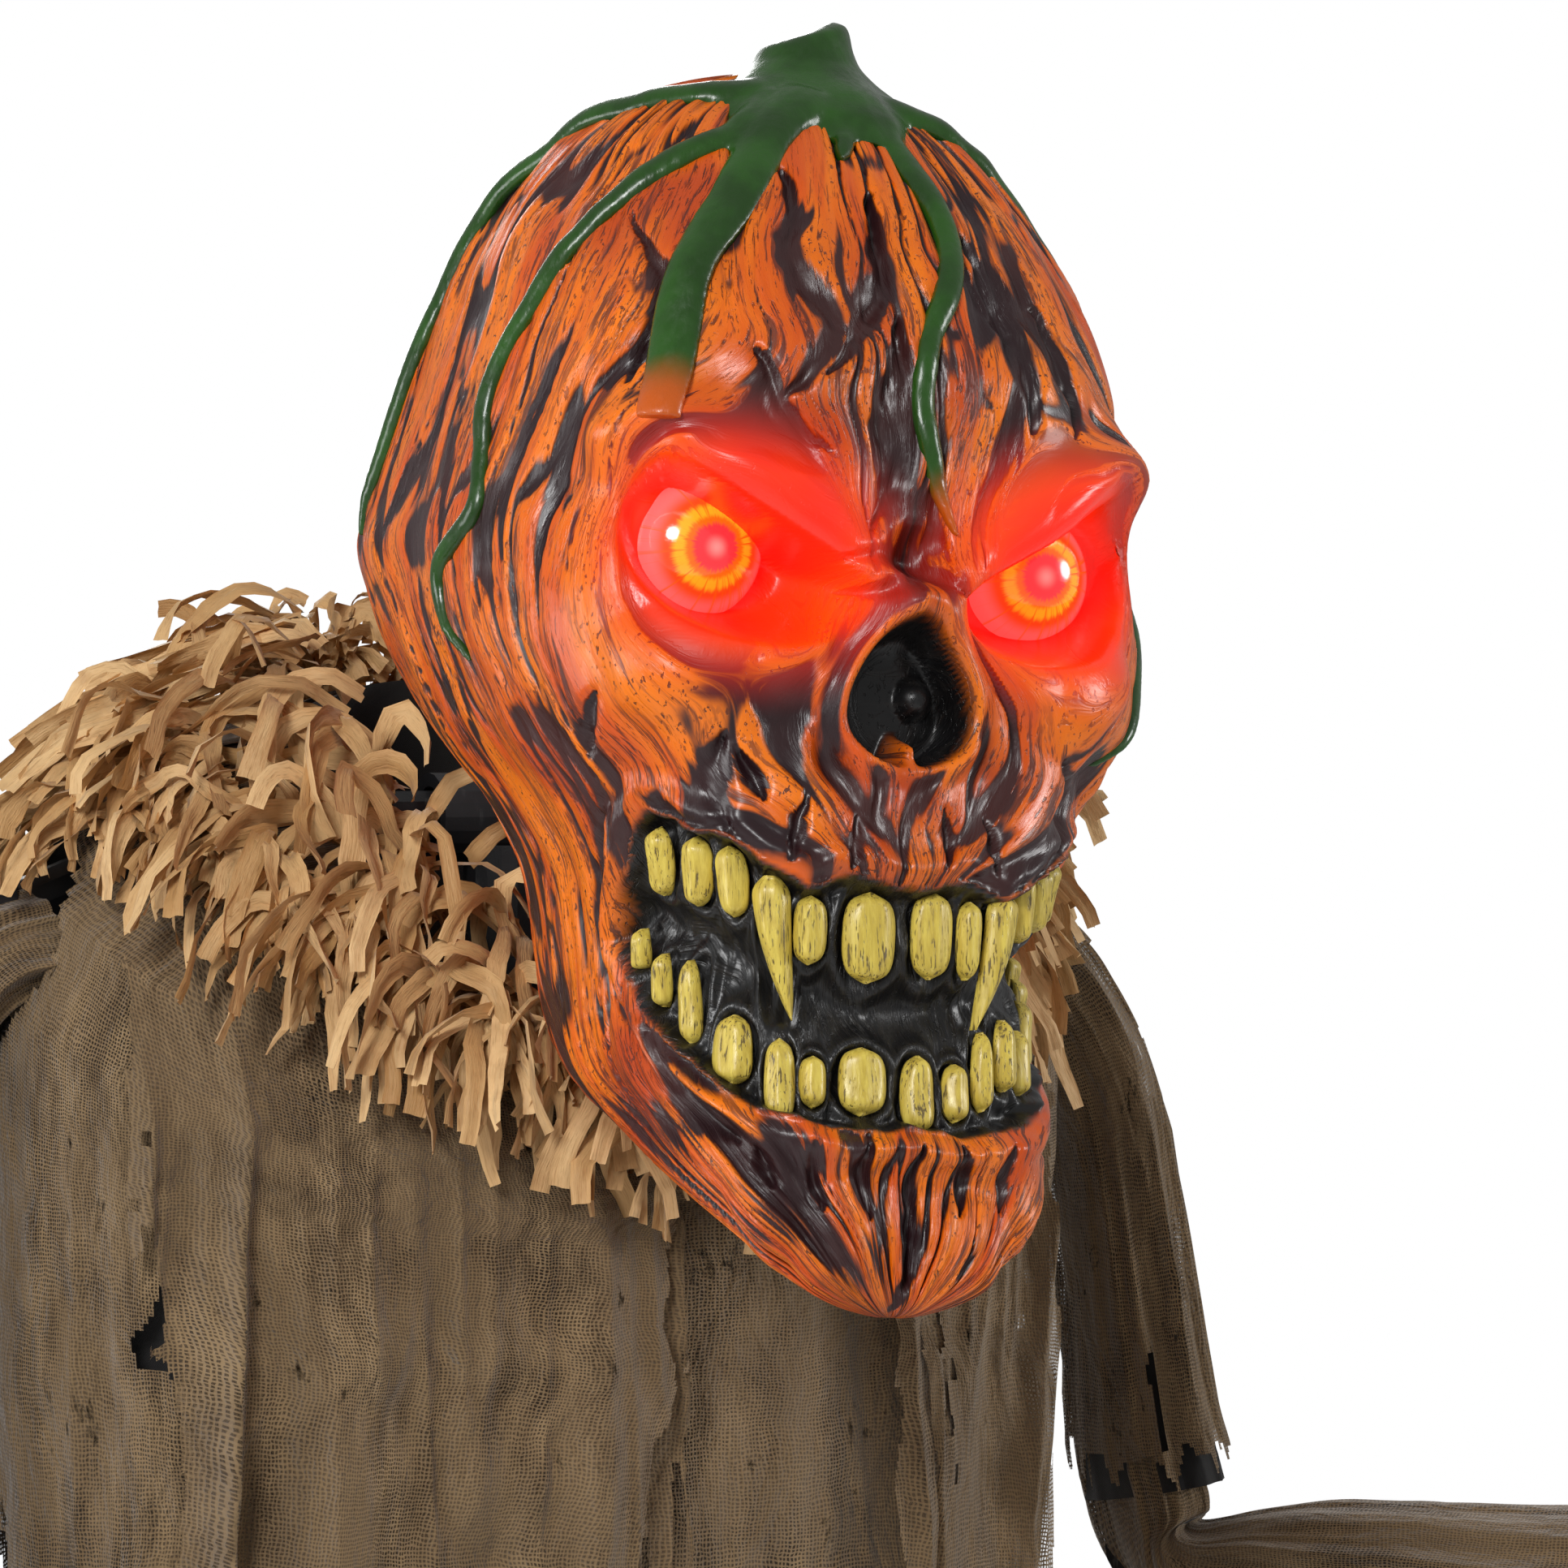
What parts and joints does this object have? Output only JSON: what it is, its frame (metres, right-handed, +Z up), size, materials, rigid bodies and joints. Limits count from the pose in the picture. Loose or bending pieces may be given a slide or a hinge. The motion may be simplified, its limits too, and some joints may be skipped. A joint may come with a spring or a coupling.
{
  "type": "scarecrow figure",
  "caption": "Standing scarecrow figure with a turning pumpkin-skull head, lit eyes, raffia collar, torn gauze robe and posable arms on a pole stand.",
  "frame": {"origin": "on the floor, centre of the base hub's underside, below the pole", "axes": "+Z up along the pole; the figure faces -Y; its left hand is on the +X side"},
  "size_m": [1.0547, 0.6492, 1.9452],
  "materials": {
    "frame_steel": "satin black powder coat",
    "arm_bar": "satin black powder coat",
    "fastener_zinc": "bright zinc plate",
    "black_plastic": "moulded black",
    "foot_rubber": "matt",
    "white_nylon": "natural nylon",
    "circuit_board": "green solder mask",
    "speaker_steel": "satin black",
    "red_plastic": "moulded red",
    "lead_cover": "red flexible covering",
    "orange_skull": "glossy orange with dark washed grooves, green vines and yellow teeth",
    "orange_hand": "orange with dark washed grooves",
    "eye_lens": "printed clear dome lit red from behind",
    "black_robe": "thin black cloth",
    "brown_gauze": "open-weave torn gauze",
    "raffia": "creased paper raffia"
  },
  "bodies": {
    "stand": {"base_hub": "black_plastic", "base_leg_front_left": "frame_steel", "base_leg_back_left": "frame_steel", "base_leg_back_right": "frame_steel", "base_leg_front_right": "frame_steel", "foot_front_left": "foot_rubber", "foot_back_left": "foot_rubber", "foot_back_right": "foot_rubber", "foot_front_right": "foot_rubber", "lower_pole": "frame_steel", "upper_pole": "frame_steel", "pole_snap_button": "fastener_zinc", "shoulder_bar": "frame_steel", "shoulder_tee": "black_plastic", "shoulder_bolt_left": "fastener_zinc", "shoulder_bolt_right": "fastener_zinc", "control_box_back": "black_plastic", "control_box_front": "black_plastic", "box_strap": "black_plastic", "loudspeaker": "speaker_steel", "circuit_board": "circuit_board", "motion_sensor": "white_nylon", "power_inlet": "fastener_zinc", "neck_bracket": "frame_steel", "gear_case": "black_plastic", "gear_case_cover": "black_plastic", "neck_bush": "white_nylon", "turn_motor": "fastener_zinc", "neck_lead": "lead_cover", "under_robe": "black_robe", "gauze_tunic": "brown_gauze", "raffia_collar": "raffia"},
    "head": {"neck_shaft": "frame_steel", "neck_gear": "white_nylon", "head_socket": "black_plastic", "head_shell": "orange_skull", "eye_lead": "lead_cover", "eye_lens_left": "eye_lens", "eye_cup_left": "white_nylon", "eye_lamp_left": "circuit_board", "eye_lens_right": "eye_lens", "eye_cup_right": "white_nylon", "eye_lamp_right": "circuit_board"},
    "pinion": {"motor_pinion": "white_nylon"},
    "button": {"try_me_button": "red_plastic"},
    "switch": {"mode_switch": "white_nylon"},
    "upper_arm_left": {"upper_arm_left": "arm_bar", "upper_sleeve_left": "brown_gauze"},
    "forearm_left": {"forearm_left": "arm_bar", "elbow_bolt_left": "fastener_zinc", "hand_left": "orange_hand", "lower_sleeve_left": "brown_gauze", "raffia_cuff_left": "raffia"},
    "upper_arm_right": {"upper_arm_right": "arm_bar", "upper_sleeve_right": "brown_gauze"},
    "forearm_right": {"forearm_right": "arm_bar", "elbow_bolt_right": "fastener_zinc", "hand_right": "orange_hand", "lower_sleeve_right": "brown_gauze", "raffia_cuff_right": "raffia"}
  },
  "joints": [
    {"name": "head_turn", "type": "hinge", "parent": "stand", "child": "head", "pos_m": [0, -0.058, 1.56], "axis": [0, -0.6225, 0.7826], "range_deg": [-25, 25]},
    {"name": "pinion_spin", "type": "hinge", "parent": "stand", "child": "pinion", "pos_m": [0.036, -0.058, 1.56], "axis": [0, -0.6225, 0.7826], "range_deg": [-76, 76]},
    {"name": "button_press", "type": "slide", "parent": "stand", "child": "button", "axis": [-1, 0, 0], "range_m": [0, 0.0025], "stiffness_N_per_m": 300, "springref_m": -0.002},
    {"name": "switch_slide", "type": "slide", "parent": "stand", "child": "switch", "axis": [0, 0, 1], "range_m": [0, 0.01]},
    {"name": "shoulder_left", "type": "hinge", "parent": "stand", "child": "upper_arm_left", "pos_m": [0.1985, 0, 1.65], "axis": [-1, 0, 0], "range_deg": [-25, 60]},
    {"name": "elbow_left", "type": "hinge", "parent": "upper_arm_left", "child": "forearm_left", "pos_m": [0.25, 0, 1.415], "axis": [-0.7071, -0.7071, 0], "range_deg": [-55, 24]},
    {"name": "shoulder_right", "type": "hinge", "parent": "stand", "child": "upper_arm_right", "pos_m": [-0.1985, 0, 1.65], "axis": [-1, 0, 0], "range_deg": [-25, 60]},
    {"name": "elbow_right", "type": "hinge", "parent": "upper_arm_right", "child": "forearm_right", "pos_m": [-0.25, 0, 1.415], "axis": [-0.7071, 0.7071, 0], "range_deg": [-55, 24]}
  ],
  "couplings": [
    {"joint": "pinion_spin", "follows": "head_turn", "ratio": -3}
  ]
}
